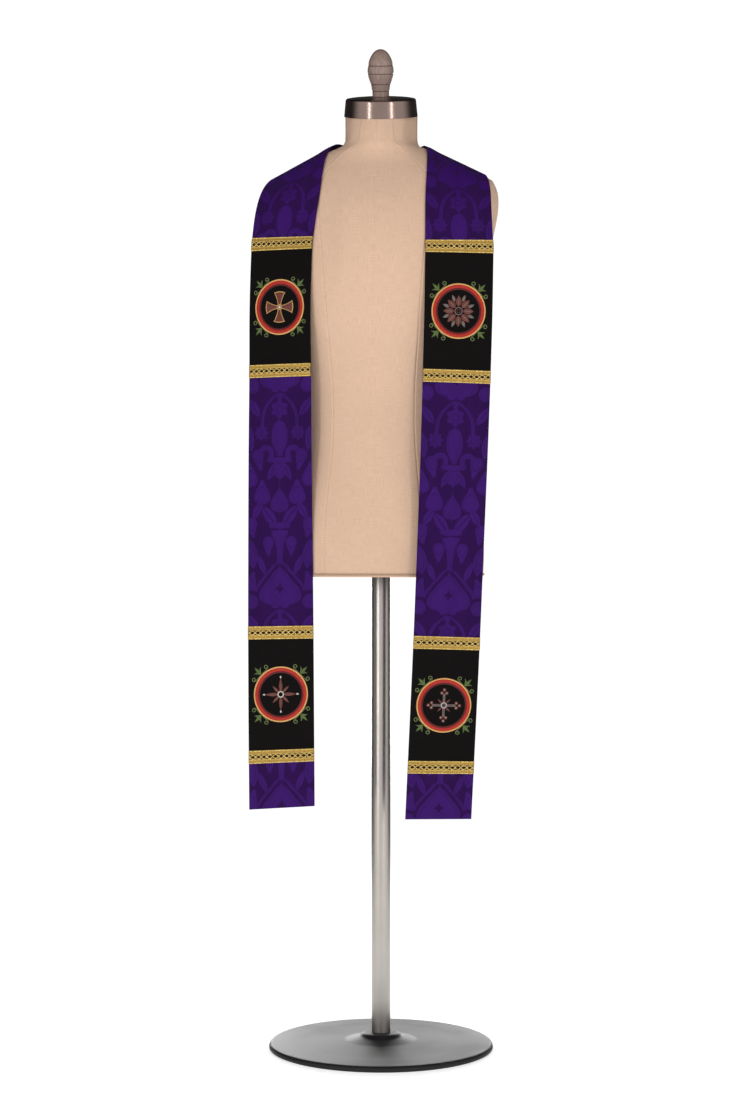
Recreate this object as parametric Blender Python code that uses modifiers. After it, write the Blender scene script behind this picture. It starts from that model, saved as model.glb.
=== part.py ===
"""Clerical stole hanging on a limbless dress form. Metres, +Z up, the front faces -Y.

The stole is two straight strips that meet in a mitred seam at the centre of the back of the neck. Each
strip lies over a shoulder on the draping surface below, then hangs down the front. Its pieces, galloons
and roundels are all cut from the same strip, moved out by what lies under them. The dress form is lofted
from level sections and held inside the draping surface, so the cloth rests on its shoulders.
"""

import math

import bmesh
import bpy
import numpy as np

# Cloth and trim
CLOTH = 0.002
TRIM = 0.001
GAP = 0.0003
CHEST_WIDTH = 0.117
HEM_WIDTH = 0.1110
GALLOON = 0.0215
RING_OUTER = 0.0462
RING_INNER = 0.0355

# Lengths along a strip: from one galloon's middle to the next, and from the last to the hem
UPPER_PANEL = 0.211
MIDDLE = 0.436
LOWER_PANEL = 0.205
END = 0.086
HANGING = UPPER_PANEL + MIDDLE + LOWER_PANEL + END

# Draping surface: a ridge along the shoulders, a front that turns back towards the arms, a rounded back
RIDGE_Y = 0.005
RIDGE_ROUNDING = 0.02
NECK_X = 0.07
FRONT_REACH = 0.111
FRONT_REACH_X = 0.10
FRONT_TURN = math.tan(math.radians(20.0))
BACK_REACH = 0.105
BACK_REACH_OUT = 0.060
SHOULDER_X = 0.19

# Each side: which way X runs, the ridge's height at the neck, its fall per metre outwards, and how much
# longer than the lengths above its strip was cut
SIDES = {
    "right": {"way": -1.0, "ridge_z": 1.5385, "fall": 0.515, "longer": 1.000},
    "left": {"way": 1.0, "ridge_z": 1.5315, "fall": 0.500, "longer": 1.027},
}

# Edges of a yoke on the draping surface, from the centre-back seam to the upper galloon. Across is the
# distance from the middle of the body; over is the distance from the ridge along the cloth, the front
# being positive. Each row has the inner edge's across and over, then the outer edge's.
YOKES = {
    "right": (
        (0.00015, -0.095, 0.00015, -0.244),
        (0.0200, -0.076, 0.0500, -0.186),
        (0.0400, -0.053, 0.0980, -0.128),
        (0.0590, -0.028, 0.1420, -0.070),
        (0.0740, 0.000, 0.1720, -0.022),
        (0.0850, 0.036, 0.1900, 0.016),
        (0.0890, 0.078, 0.2010, 0.050),
        (0.0920, 0.134, 0.2075, 0.089),
        (0.1016, 0.2125, 0.2116, 0.1380),
    ),
    "left": (
        (0.00015, -0.095, 0.00015, -0.244),
        (0.0200, -0.076, 0.0490, -0.186),
        (0.0400, -0.053, 0.0950, -0.128),
        (0.0580, -0.028, 0.1370, -0.070),
        (0.0720, 0.000, 0.1660, -0.022),
        (0.0820, 0.036, 0.1820, 0.018),
        (0.0855, 0.080, 0.1900, 0.055),
        (0.0860, 0.141, 0.1935, 0.099),
        (0.0876, 0.2250, 0.1976, 0.1540),
    ),
}

# How a strip hangs below the upper galloon: drop from it, the strip's middle in X, its turn out of the
# plane of the chest in degrees, how far its outer edge hangs lower, and how far its middle stands proud
HANGS = {
    "right": (
        (0.00, 0.1566, 0.0, 0.000, 0.0000),
        (0.11, 0.1588, 1.0, 0.001, 0.0010),
        (0.21, 0.1582, 3.0, 0.003, 0.0015),
        (0.33, 0.1583, 6.0, 0.004, 0.0020),
        (0.53, 0.1574, 12.0, 0.006, 0.0028),
        (0.63, 0.1569, 15.0, 0.007, 0.0028),
        (0.78, 0.1560, 18.0, 0.010, 0.0022),
        (0.95, 0.1546, 20.0, 0.014, 0.0015),
    ),
    "left": (
        (0.00, 0.1426, 0.0, 0.000, 0.0000),
        (0.10, 0.1417, 0.0, 0.001, 0.0010),
        (0.20, 0.1393, 0.0, 0.003, 0.0015),
        (0.32, 0.1358, -1.0, 0.004, 0.0020),
        (0.52, 0.1284, -1.0, 0.006, 0.0028),
        (0.64, 0.1238, 0.0, 0.007, 0.0028),
        (0.86, 0.1142, 2.0, 0.007, 0.0022),
        (0.97, 0.1092, 3.0, 0.006, 0.0015),
    ),
}

# Dress form: level sections from the top of the neck to the hip, with half the width, and the depth to
# the front and to the back of the line under the ridge
FORM = (
    (1.5818, 0.0616, 0.0660, 0.0542),
    (1.570, 0.0615, 0.0660, 0.0541),
    (1.558, 0.0614, 0.0660, 0.0540),
    (1.546, 0.0615, 0.0659, 0.0540),
    (1.536, 0.0624, 0.0660, 0.0550),
    (1.527, 0.0690, 0.0670, 0.0570),
    (1.518, 0.1000, 0.0650, 0.0610),
    (1.508, 0.1300, 0.0665, 0.0660),
    (1.497, 0.1530, 0.0700, 0.0730),
    (1.485, 0.1720, 0.0765, 0.0810),
    (1.473, 0.1860, 0.0835, 0.0880),
    (1.460, 0.1940, 0.0905, 0.0940),
    (1.445, 0.1985, 0.0980, 0.0980),
    (1.425, 0.1990, 0.1065, 0.1005),
    (1.400, 0.1955, 0.1140, 0.1015),
    (1.370, 0.1890, 0.1200, 0.1010),
    (1.335, 0.1815, 0.1235, 0.0990),
    (1.295, 0.1745, 0.1230, 0.0955),
    (1.250, 0.1670, 0.1190, 0.0905),
    (1.200, 0.1590, 0.1130, 0.0850),
    (1.150, 0.1510, 0.1075, 0.0810),
    (1.100, 0.1455, 0.1040, 0.0800),
    (1.060, 0.1445, 0.1035, 0.0820),
    (1.020, 0.1475, 0.1050, 0.0870),
    (0.975, 0.1560, 0.1090, 0.0950),
    (0.925, 0.1660, 0.1130, 0.1025),
    (0.875, 0.1730, 0.1150, 0.1065),
    (0.835, 0.1745, 0.1145, 0.1060),
    (0.800, 0.1730, 0.1130, 0.1040),
)
FORM_SQUARENESS = 2.4
NECK_SQUARENESS = 2.0
SEAT = CLOTH / 2 + 0.0014

# Where the form lies under the yokes. Beside the neck it comes under them between two distances from the
# middle, and behind the neck below their inner edge, which is this far under the ridge in the middle.
UNDER_YOKE_FROM = 0.042
UNDER_YOKE = 0.068
NECK_BACK_FALL = 0.054
NECK_BACK_X = 0.072
NECK_MARGIN = 0.016
NECK_BLEND = 0.014
FORM_BLEND = 0.010

# Neck cap, finial and stand
NECK_Y = -0.001
NECK_TILT = math.radians(15.0)
NECK_TILTS_TO = math.radians(6.0)
NECK_TILTS_FROM = 1.546
CAP_RADIUS = 0.0625
CAP_TOP_RADIUS = 0.0596
CAP_HEIGHT = 0.030
CAP_DOME = 0.003
FINIAL_HEIGHT = 0.0783
FINIAL_RADIUS = 0.0221
POLE_RADIUS = 0.016
BASE_RADIUS = 0.19
BASE_EDGE = 0.010
BASE_TOP = 0.026

STEP_COUNT = 2400
PROFILE_LENGTH = 12.0


def profile():
    """Cloth that tips from level over the ridge to plumb: its slope, reach and fall, at unit size."""
    run = np.linspace(0.0, PROFILE_LENGTH, STEP_COUNT)
    slope = math.pi / 2 * (1 - np.exp(-run))
    step = run[1] - run[0]
    reach = np.concatenate([[0.0], np.cumsum((np.cos(slope[1:]) + np.cos(slope[:-1])) * step / 2)])
    fall = np.concatenate([[0.0], np.cumsum((np.sin(slope[1:]) + np.sin(slope[:-1])) * step / 2)])
    return run, slope, reach, fall


RUN, SLOPE, REACH, FALL = profile()


def ridge_height(side, across):
    start = math.hypot(NECK_X, RIDGE_ROUNDING)
    return side["ridge_z"] - side["fall"] * (math.hypot(across, RIDGE_ROUNDING) - start)


def reach_of(across, front):
    """How far the cloth comes forwards or goes back from the ridge, this far from the middle."""
    if front:
        return FRONT_REACH - FRONT_TURN * (across - FRONT_REACH_X) + RIDGE_Y
    narrowing = (BACK_REACH - BACK_REACH_OUT) * (across / SHOULDER_X) ** 2
    return BACK_REACH - narrowing - RIDGE_Y


def draped(side, across, over):
    """The point of the draping surface at this distance from the middle and this far over the ridge."""
    size = reach_of(across, over >= 0) / REACH[-1]
    run = abs(over) / size
    beyond = max(0.0, run - PROFILE_LENGTH)
    reach = size * np.interp(run, RUN, REACH)
    fall = size * (np.interp(run, RUN, FALL) + beyond)
    y = RIDGE_Y - math.copysign(reach, over)
    return np.array((side["way"] * across, y, ridge_height(side, across) - fall))


def smooth(rows, at):
    """The row of a table at a place between its rows, on smooth curves through them. The first column
    is the place."""
    rows = np.asarray(rows, float)
    places = rows[:, 0]
    slopes = np.gradient(rows, places, axis=0)
    i = int(np.clip(np.searchsorted(places, at) - 1, 0, len(rows) - 2))
    step = places[i + 1] - places[i]
    t = (at - places[i]) / step
    near = (1 + 2 * t) * (1 - t) ** 2 * rows[i] + t * (1 - t) ** 2 * step * slopes[i]
    far = t * t * (3 - 2 * t) * rows[i + 1] - t * t * (1 - t) * step * slopes[i + 1]
    return near + far


class Strip:
    """One side of the stole, as a surface with places across it (0 inner edge, 1 outer edge) and along it
    (metres from the centre-back seam down its middle)."""

    FINE = 160

    def __init__(self, name):
        self.side = SIDES[name]
        self.hang = HANGS[name]
        yoke = [(i, *row) for i, row in enumerate(YOKES[name])]
        fine = [smooth(yoke, at)[1:] for at in np.linspace(0, len(yoke) - 1, self.FINE)]
        self.edges = [self.measured([row[:2] for row in fine]), self.measured([row[2:] for row in fine])]
        self.yoke_length = (self.edges[0][0][-1] + self.edges[1][0][-1]) / 2
        self.last = np.array(fine[-1])

    def measured(self, edge):
        """An edge of the yoke with its length up to each of its points."""
        edge = np.array(edge)
        points = np.array([draped(self.side, *row) for row in edge])
        lengths = np.concatenate([[0.0], np.cumsum(np.linalg.norm(np.diff(points, axis=0), axis=1))])
        return lengths, edge

    def yoke_point(self, across, along):
        part = along / self.yoke_length
        ends = []
        for lengths, edge in self.edges:
            at = part * lengths[-1]
            ends.append([np.interp(at, lengths, edge[:, column]) for column in (0, 1)])
        inner, outer = np.array(ends)
        return draped(self.side, *(inner + across * (outer - inner)))

    def hanging_point(self, across, drop):
        _, middle, turn, lean, crown = smooth(self.hang, drop)
        width = self.width(drop)
        flat = width / math.hypot(1, FRONT_TURN)
        out = (across - 0.5) * flat
        over = self.last[1] + across * (self.last[3] - self.last[1] + lean) + drop
        point = draped(self.side, middle + out, over)
        pivot = draped(self.side, middle, over)
        # The row turns about its middle, level
        angle = -self.side["way"] * math.radians(turn)
        x, y = point[:2] - pivot[:2]
        point[0] = pivot[0] + x * math.cos(angle) - y * math.sin(angle)
        point[1] = pivot[1] + x * math.sin(angle) + y * math.cos(angle)
        point[1] -= crown * (1 - (2 * across - 1) ** 2)
        return point

    def point(self, across, along):
        if along <= self.yoke_length:
            return self.yoke_point(across, along)
        return self.hanging_point(across, along - self.yoke_length)

    def normal(self, across, along):
        """Outwards, away from the body."""
        step = 0.0005
        wide = step / CHEST_WIDTH
        low = max(along - step, 0.0)
        left = max(across - wide, 0.0)
        right = min(across + wide, 1.0)
        over = self.point(right, along) - self.point(left, along)
        down = self.point(across, along + step) - self.point(across, low)
        out = np.cross(down, over) * self.side["way"]
        return out / np.linalg.norm(out)

    def lifted(self, across, along, height):
        return self.point(across, along) + height * self.normal(across, along)

    def width(self, drop):
        return CHEST_WIDTH + (HEM_WIDTH - CHEST_WIDTH) * drop / HANGING


def material(name, colour, roughness, metallic=0.0):
    made = bpy.data.materials.new(name)
    made.use_nodes = True
    shader = made.node_tree.nodes["Principled BSDF"]
    shader.inputs["Base Color"].default_value = (*colour, 1.0)
    shader.inputs["Roughness"].default_value = roughness
    shader.inputs["Metallic"].default_value = metallic
    return made


def add(collection, name, made_of, mesh):
    for polygon in mesh.polygons:
        polygon.use_smooth = True
    mesh.set_sharp_from_angle(angle=math.radians(35))
    obj = bpy.data.objects.new(name, mesh)
    obj.data.materials.append(made_of)
    collection.objects.link(obj)
    return obj


def sheet(collection, name, made_of, rows, thickness, closed=False):
    """Cloth or trim: an open surface through rows of points, given its thickness about its middle."""
    built = bmesh.new()
    grid = [[built.verts.new(point) for point in row] for row in rows]
    last = len(grid) if closed else len(grid) - 1
    for i in range(last):
        upper, lower = grid[i], grid[(i + 1) % len(grid)]
        for j in range(len(upper) - 1):
            built.faces.new((upper[j], upper[j + 1], lower[j + 1], lower[j]))
    mesh = bpy.data.meshes.new(name)
    built.to_mesh(mesh)
    built.free()
    obj = add(collection, name, made_of, mesh)
    solid = obj.modifiers.new("Wall", "SOLIDIFY")
    solid.thickness = thickness
    solid.offset = 0.0
    solid.use_even_offset = True
    return obj


def ordered(rows, way):
    """The rows with their points so that the faces look outwards on either side."""
    return rows if way > 0 else [row[::-1] for row in rows]


def cloth_piece(collection, name, made_of, strip, start, end, row_count, column_count):
    rows = []
    for along in np.linspace(start, end, row_count + 1):
        rows.append([strip.point(a, along) for a in np.linspace(0, 1, column_count + 1)])
    return sheet(collection, name, made_of, ordered(rows, strip.side["way"]), CLOTH)


def galloon(collection, name, made_of, strip, middle):
    height = CLOTH / 2 + GAP + TRIM / 2
    rows = []
    for along in (middle - GALLOON / 2, middle, middle + GALLOON / 2):
        rows.append([strip.lifted(a, along, height) for a in np.linspace(0, 1, 7)])
    return sheet(collection, name, made_of, ordered(rows, strip.side["way"]), TRIM)


def roundel(collection, name, made_of, strip, middle):
    """The raised band of a roundel, on the panel's own surface."""
    height = CLOTH / 2 + GAP + TRIM / 2
    width = strip.width(middle - strip.yoke_length)
    count = 28
    rows = []
    for i in range(count):
        turn = 2 * math.pi * i / count
        row = []
        for radius in (RING_INNER, RING_OUTER):
            across = 0.5 + radius * math.cos(turn) / width
            row.append(strip.lifted(across, middle + radius * math.sin(turn), height))
        rows.append(row)
    return sheet(collection, name, made_of, ordered(rows, -strip.side["way"]), TRIM, closed=True)


def stole_side(collection, name, finishes):
    strip = Strip(name)
    lengths = strip.side["longer"] * np.array((0.0, UPPER_PANEL, MIDDLE, LOWER_PANEL, END))
    *seams, hem = strip.yoke_length + np.cumsum(lengths)
    half = GAP / 2
    pieces = (
        ("yoke", "damask", 0.0, seams[0], 46, 10),
        ("upper_panel", "black", seams[0], seams[1], 6, 6),
        ("middle", "damask", seams[1], seams[2], 12, 6),
        ("lower_panel", "black", seams[2], seams[3], 6, 6),
        ("end", "damask", seams[3], hem, 3, 6),
    )
    for piece, finish, start, end, rows, columns in pieces:
        first = start + half if start else start
        final = end if end == hem else end - half
        cloth_piece(collection, f"{name}_{piece}", finishes[finish], strip, first, final, rows, columns)
    for i, seam in enumerate(seams):
        galloon(collection, f"{name}_galloon_{i + 1}", finishes["gold"], strip, seam)
    for place, upper in (("upper", 0), ("lower", 2)):
        middle = (seams[upper] + seams[upper + 1]) / 2
        roundel(collection, f"{name}_{place}_roundel", finishes["ring"], strip, middle)
    return strip


def cloth_limit(side, across, height, front):
    """How far from the line under the ridge the form may come here, with the cloth lying on it."""
    size = reach_of(across, front) / REACH[-1]
    upright = SEAT * math.hypot(1.0, side["fall"])
    falls = size * FALL + upright * np.cos(SLOPE)
    reaches = size * REACH - SEAT * np.sin(SLOPE)
    return np.interp(ridge_height(side, across) - height, falls, reaches)


def widest(side, height):
    """How far out the form still lies under the ridge at this height."""
    start = math.hypot(NECK_X, RIDGE_ROUNDING)
    upright = SEAT * math.hypot(1.0, side["fall"])
    rise = (side["ridge_z"] - upright - height) / side["fall"] + start
    return math.sqrt(max(rise, RIDGE_ROUNDING) ** 2 - RIDGE_ROUNDING**2)


def eased(at, start, end):
    """From 0 at the start to 1 at the end, without a corner."""
    t = min(max((at - start) / (end - start), 0.0), 1.0)
    return t * t * (3 - 2 * t)


def lesser(a, b, blend):
    """The smaller of two depths, rounded off where they are nearly the same."""
    near = max(blend - abs(a - b), 0.0) / blend
    return min(a, b) - near * near * blend / 4


def form_section(height, half_width, front, back, count):
    """One level section of the dress form: a rounded oblong, held under the cloth."""
    tilted = max(0.0, height - NECK_TILTS_FROM) / (FORM[0][0] - NECK_TILTS_FROM)
    squareness = FORM_SQUARENESS + tilted * (NECK_SQUARENESS - FORM_SQUARENESS)
    points = []
    for i in range(count):
        turn = 2 * math.pi * i / count
        c, s = math.cos(turn), math.sin(turn)
        side = SIDES["left"] if c > 0 else SIDES["right"]
        out = half_width if half_width < UNDER_YOKE else min(half_width, widest(side, height))
        across = out * abs(c) ** (2 / squareness)
        forwards = s < 0
        depth = (front if forwards else back) * abs(s) ** (2 / squareness)
        edge = ridge_height(side, across) - NECK_BACK_FALL * max(0.0, 1 - across / NECK_BACK_X)
        under = eased(across, UNDER_YOKE_FROM, UNDER_YOKE)
        if not forwards:
            under = max(under, eased(edge + NECK_MARGIN - height, -NECK_BLEND, 0.0))
        under_cloth = lesser(depth, cloth_limit(side, across, height, forwards), FORM_BLEND)
        depth += under * (under_cloth - depth)
        y = RIDGE_Y + (-depth if forwards else depth)
        x = math.copysign(across, c)
        behind = (y - NECK_Y) * math.cos(NECK_TILTS_TO) - x * math.sin(NECK_TILTS_TO)
        points.append((x, y, height + tilted * math.tan(NECK_TILT) * behind))
    return points


def dress_form(collection, finish):
    """Covered torso and neck, one closed body."""
    count = 44
    built = bmesh.new()
    rings = [[built.verts.new(p) for p in form_section(*row, count)] for row in FORM]
    for upper, lower in zip(rings, rings[1:]):
        for i in range(count):
            j = (i + 1) % count
            built.faces.new((upper[i], lower[i], lower[j], upper[j]))
    built.faces.new(rings[0])
    built.faces.new(rings[-1][::-1])
    bmesh.ops.recalc_face_normals(built, faces=built.faces)
    mesh = bpy.data.meshes.new("form_body")
    built.to_mesh(mesh)
    built.free()
    return add(collection, "form_body", finish, mesh)


def turned(collection, name, finish, outline, steps, parent=None):
    """A turned piece from its outline of (radius, height), from the top down."""
    mesh = bpy.data.meshes.new(name)
    edges = [(i, i + 1) for i in range(len(outline) - 1)]
    mesh.from_pydata([(radius, 0.0, z) for radius, z in outline], edges, [])
    obj = add(collection, name, finish, mesh)
    obj.parent = parent
    screw = obj.modifiers.new("Turn", "SCREW")
    screw.axis = "Z"
    screw.steps = steps
    screw.render_steps = steps
    screw.use_merge_vertices = True
    screw.merge_threshold = 0.0001
    return obj


def neck_cap(collection, steel, neck_top):
    outline = (
        (0.0, CAP_HEIGHT + CAP_DOME),
        (CAP_TOP_RADIUS * 0.5, CAP_HEIGHT + CAP_DOME * 0.75),
        (CAP_TOP_RADIUS - 0.004, CAP_HEIGHT),
        (CAP_TOP_RADIUS - 0.001, CAP_HEIGHT - 0.0012),
        (CAP_TOP_RADIUS, CAP_HEIGHT - 0.0040),
        (CAP_RADIUS, 0.0012),
        (CAP_RADIUS - 0.0008, 0.0),
        (0.0, 0.0),
    )
    raised = [(radius, GAP + z) for radius, z in outline]
    return turned(collection, "neck_cap", steel, raised, 40, neck_top)


def finial(collection, wood, neck_top):
    """An egg on a waisted foot, each level a share of the height and of the widest radius."""
    shares = (
        (0.00, 1.000),
        (0.19, 0.992),
        (0.34, 0.974),
        (0.53, 0.931),
        (0.65, 0.888),
        (0.78, 0.823),
        (0.88, 0.759),
        (0.935, 0.672),
        (1.00, 0.530),
        (0.935, 0.414),
        (0.84, 0.328),
        (0.745, 0.241),
        (0.68, 0.155),
        (0.64, 0.060),
        (0.64, 0.000),
        (0.00, 0.000),
    )
    foot = 2 * GAP + CAP_HEIGHT + CAP_DOME
    outline = [(FINIAL_RADIUS * out, foot + FINIAL_HEIGHT * up) for out, up in shares]
    return turned(collection, "finial", wood, outline, 28, neck_top)


def stand(collection, steel, iron):
    pole_top = FORM[-1][0] - GAP
    pole = ((0.0, pole_top), (POLE_RADIUS, pole_top), (POLE_RADIUS, BASE_TOP + GAP), (0.0, BASE_TOP + GAP))
    turned(collection, "pole", steel, pole, 24)
    base = (
        (0.0, BASE_TOP),
        (0.030, BASE_TOP),
        (0.036, BASE_TOP - 0.006),
        (0.060, BASE_EDGE + 0.004),
        (0.130, BASE_EDGE + 0.001),
        (BASE_RADIUS - 0.004, BASE_EDGE),
        (BASE_RADIUS, BASE_EDGE - 0.003),
        (BASE_RADIUS, 0.0),
        (0.0, 0.0),
    )
    turned(collection, "base", iron, base, 48)


def main():
    for obj in list(bpy.data.objects):
        bpy.data.objects.remove(obj)
    collection = bpy.data.collections.new("clerical_stole")
    bpy.context.scene.collection.children.link(collection)
    finishes = {
        "damask": material("purple damask", (0.045, 0.012, 0.130), 0.55),
        "black": material("black cloth", (0.008, 0.007, 0.007), 0.70),
        "gold": material("gold braid", (0.480, 0.330, 0.090), 0.45),
        "ring": material("red and gold stitching", (0.500, 0.020, 0.010), 0.55),
    }
    for name in SIDES:
        stole_side(collection, name, finishes)
    dress_form(collection, material("linen cover", (0.560, 0.430, 0.290), 0.85))
    steel = material("brushed steel", (0.560, 0.550, 0.530), 0.32, 1.0)
    neck_top = bpy.data.objects.new("neck_top", None)
    neck_top.location = (0.0, NECK_Y, FORM[0][0])
    neck_top.rotation_euler = (NECK_TILT, 0.0, NECK_TILTS_TO)
    collection.objects.link(neck_top)
    neck_cap(collection, steel, neck_top)
    finial(collection, material("turned wood", (0.210, 0.165, 0.130), 0.50), neck_top)
    stand(collection, steel, material("painted iron", (0.020, 0.020, 0.022), 0.50))


main()
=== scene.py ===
"""Clerical stole of purple damask with black panels, gold galloons and embroidered roundels, hanging on a
limbless dress form. Metres, +Z up, the front faces -Y. "right" and "left" are the wearer's."""

import math

import bmesh
import bpy
import numpy as np
from mathutils import Matrix, Vector


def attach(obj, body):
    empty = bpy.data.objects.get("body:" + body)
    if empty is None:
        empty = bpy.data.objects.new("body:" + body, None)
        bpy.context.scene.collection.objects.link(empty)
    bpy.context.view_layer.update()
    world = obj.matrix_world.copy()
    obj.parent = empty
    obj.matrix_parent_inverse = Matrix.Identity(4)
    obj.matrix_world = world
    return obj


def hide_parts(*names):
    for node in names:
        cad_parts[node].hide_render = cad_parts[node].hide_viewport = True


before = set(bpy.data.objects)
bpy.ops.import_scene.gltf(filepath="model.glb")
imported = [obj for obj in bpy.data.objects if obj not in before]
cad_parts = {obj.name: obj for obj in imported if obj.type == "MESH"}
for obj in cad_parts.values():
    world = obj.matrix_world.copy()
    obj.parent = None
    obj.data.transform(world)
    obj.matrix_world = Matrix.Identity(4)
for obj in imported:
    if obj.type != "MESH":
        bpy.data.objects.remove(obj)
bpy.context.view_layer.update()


# Base and pole. The base is turned from iron and painted satin black. The pole is a steel tube, brushed
# lengthwise, that stands in the base's boss and goes up to the board under the torso.

BASE_OUTLINE = (
    (0.0, 0.026), (0.030, 0.026), (0.036, 0.020), (0.060, 0.014), (0.130, 0.011),
    (0.187, 0.010), (0.190, 0.006), (0.190, 0.0), (0.0, 0.0),
)
POLE_RADIUS = 0.016
POLE_FOOT = 0.0263
POLE_TOP = 0.7997
FULL_TURN = 2 * math.pi
MERGED = 0.000005


def dye(red, green, blue):
    """A colour as seen, 0 to 255, as the linear values that a shader takes."""
    seen = np.array((red, green, blue)) / 255
    linear = np.where(seen > 0.04045, ((seen + 0.055) / 1.055) ** 2.4, seen / 12.92)
    return (*linear.tolist(), 1.0)


def operator(operation):
    """A method of values that adds a Math node."""
    return lambda value, *others: value.graph.math(operation, value, *others)


def reflected(operation):
    return lambda value, other: value.graph.math(operation, other, value)


class Value:
    """What a socket gives over a surface. Arithmetic on it adds Math nodes to its graph."""

    __add__, __radd__ = operator("ADD"), reflected("ADD")
    __sub__, __rsub__ = operator("SUBTRACT"), reflected("SUBTRACT")
    __mul__, __rmul__ = operator("MULTIPLY"), reflected("MULTIPLY")
    __truediv__, __rtruediv__ = operator("DIVIDE"), reflected("DIVIDE")
    __abs__ = operator("ABSOLUTE")
    root = operator("SQRT")
    sine = operator("SINE")
    cosine = operator("COSINE")
    most = operator("MAXIMUM")
    least = operator("MINIMUM")

    def __init__(self, graph, socket):
        self.graph = graph
        self.socket = socket

    def wrapped(self, low, high):
        return self.graph.math("WRAP", self, high, low)

    def eased(self, start, end, low=0.0, high=1.0):
        """From low where this is start to high where it is end, level outside them."""
        sockets = {0: self, 1: start, 2: end, 3: low, 4: high}
        return self.graph.node("MapRange", {"interpolation_type": "SMOOTHSTEP"}, sockets)

    def parts(self):
        """The X and Y of a vector."""
        return [self.graph.node("SeparateXYZ", {}, {0: self}, out) for out in (0, 1)]


class Graph:
    """The shader nodes of a material or of the room."""

    def __init__(self, owner):
        owner.use_nodes = True
        self.nodes = owner.node_tree.nodes
        self.links = owner.node_tree.links

    def feed(self, node, sockets):
        for key, value in sockets.items():
            if isinstance(value, Value):
                self.links.new(value.socket, node.inputs[key])
            else:
                node.inputs[key].default_value = value

    def node(self, kind, settings, sockets, out=0):
        """Adds a node with its settings, then the values or links of its sockets."""
        new = self.nodes.new("ShaderNode" + kind)
        for name, setting in settings.items():
            if name == "outline":
                curve = new.mapping.curves[0]
                for at, value in setting[1:-1]:
                    curve.points.new(at, value)
                curve.points[0].location = setting[0]
                curve.points[-1].location = setting[-1]
                new.mapping.update()
            else:
                setattr(new, name, setting)
        self.feed(new, sockets)
        return Value(self, new.outputs[out])

    def math(self, operation, *values):
        return self.node("Math", {"operation": operation}, dict(enumerate(values)))


class Finish(Graph):
    """A material around one Principled shader, whose constants go on the shader's own sockets."""

    def __init__(self, name, constants):
        self.material = bpy.data.materials.new(name)
        super().__init__(self.material)
        self.shader = self.nodes["Principled BSDF"]
        self.feed(self.shader, constants)

    def place(self):
        """Where a point is on the object, in metres."""
        return self.node("TexCoord", {}, {}, 3)

    def grain(self):
        """Where a point is on the flat cut, in metres."""
        return self.node("UVMap", {"uv_map": "cut"}, {})

    def stretched(self, vector, scale):
        return self.node("VectorMath", {"operation": "MULTIPLY"}, {0: vector, 1: scale})

    def moved(self, vector, location, rotation=(0, 0, 0), scale=(1, 1, 1)):
        """The vector as seen from a place that is moved, turned and scaled so."""
        sockets = {"Vector": vector, "Location": location, "Rotation": rotation, "Scale": scale}
        return self.node("Mapping", {"vector_type": "TEXTURE"}, sockets)

    def noise(self, vector, scale, detail=2.0, roughness=0.5):
        """Soft spots, so many to the metre, or so many to the metre along each axis."""
        if isinstance(scale, tuple):
            vector, scale = self.stretched(vector, scale), 1.0
        sockets = {"Vector": vector, "Scale": scale, "Detail": detail, "Roughness": roughness}
        return self.node("TexNoise", {}, sockets)

    def mix(self, share, *colours):
        """Two colours, each a value or the red, green and blue of a dye, mixed by a share of the second."""
        first, second = (colour if isinstance(colour, Value) else dye(*colour) for colour in colours)
        return self.node("Mix", {"data_type": "RGBA"}, {0: share, 6: first, 7: second}, 2)

    def shaded(self, **sockets):
        """Feeds the shader, such as Base_Color=."""
        self.feed(self.shader, {name.replace("_", " "): value for name, value in sockets.items()})
        return self

    def dyed(self, share, *colours):
        return self.shaded(Base_Color=self.mix(share, *colours))

    def raised(self, height, distance):
        """Bumps the surface by a height from 0 to 1, over this distance in metres."""
        normal = self.node("Bump", {}, {"Strength": 1.0, "Distance": distance, "Height": height})
        return self.shaded(Normal=normal)


def rounded(outline, radius, steps=4):
    """An outline with its inner corners rounded off."""
    outline = np.array(outline, float)
    points = [outline[0]]
    for before, corner, after in zip(outline, outline[1:], outline[2:]):
        ends = []
        for other in (before, after):
            away = other - corner
            length = np.linalg.norm(away)
            ends.append(corner + away * min(radius, 0.45 * length) / length)
        for t in np.linspace(0, 1, steps + 1):
            points.append((1 - t) ** 2 * ends[0] + 2 * t * (1 - t) * corner + t * t * ends[1])
    return np.array([*points, outline[-1]])


def turned(outline, steps):
    """A turned piece, its outline of (radius, height) spun about the upright axis."""
    work = bmesh.new()
    points = [work.verts.new((radius, 0.0, height)) for radius, height in outline]
    edges = [work.edges.new(pair) for pair in zip(points, points[1:])]
    axis = {"cent": (0, 0, 0), "axis": (0, 0, 1)}
    bmesh.ops.spin(work, geom=points + edges, angle=FULL_TURN, steps=steps, use_merge=True, **axis)
    bmesh.ops.remove_doubles(work, verts=work.verts, dist=MERGED)
    bmesh.ops.recalc_face_normals(work, faces=work.faces)
    return work


def placed(name, data):
    """A new object in the scene."""
    thing = bpy.data.objects.new(name, data)
    bpy.context.scene.collection.objects.link(thing)
    return thing


def shown(name, work, finishes):
    mesh = bpy.data.meshes.new(name)
    work.to_mesh(mesh)
    work.free()
    for finish in finishes:
        mesh.materials.append(finish.material)
    return placed(name, mesh)


def made(name, work, finishes, sharp=40):
    """The finished piece, smooth but for edges sharper than this many degrees."""
    piece = shown(name, work, finishes)
    piece.data.shade_smooth()
    piece.data.set_sharp_from_angle(angle=math.radians(sharp))
    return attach(piece, "root")


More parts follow.
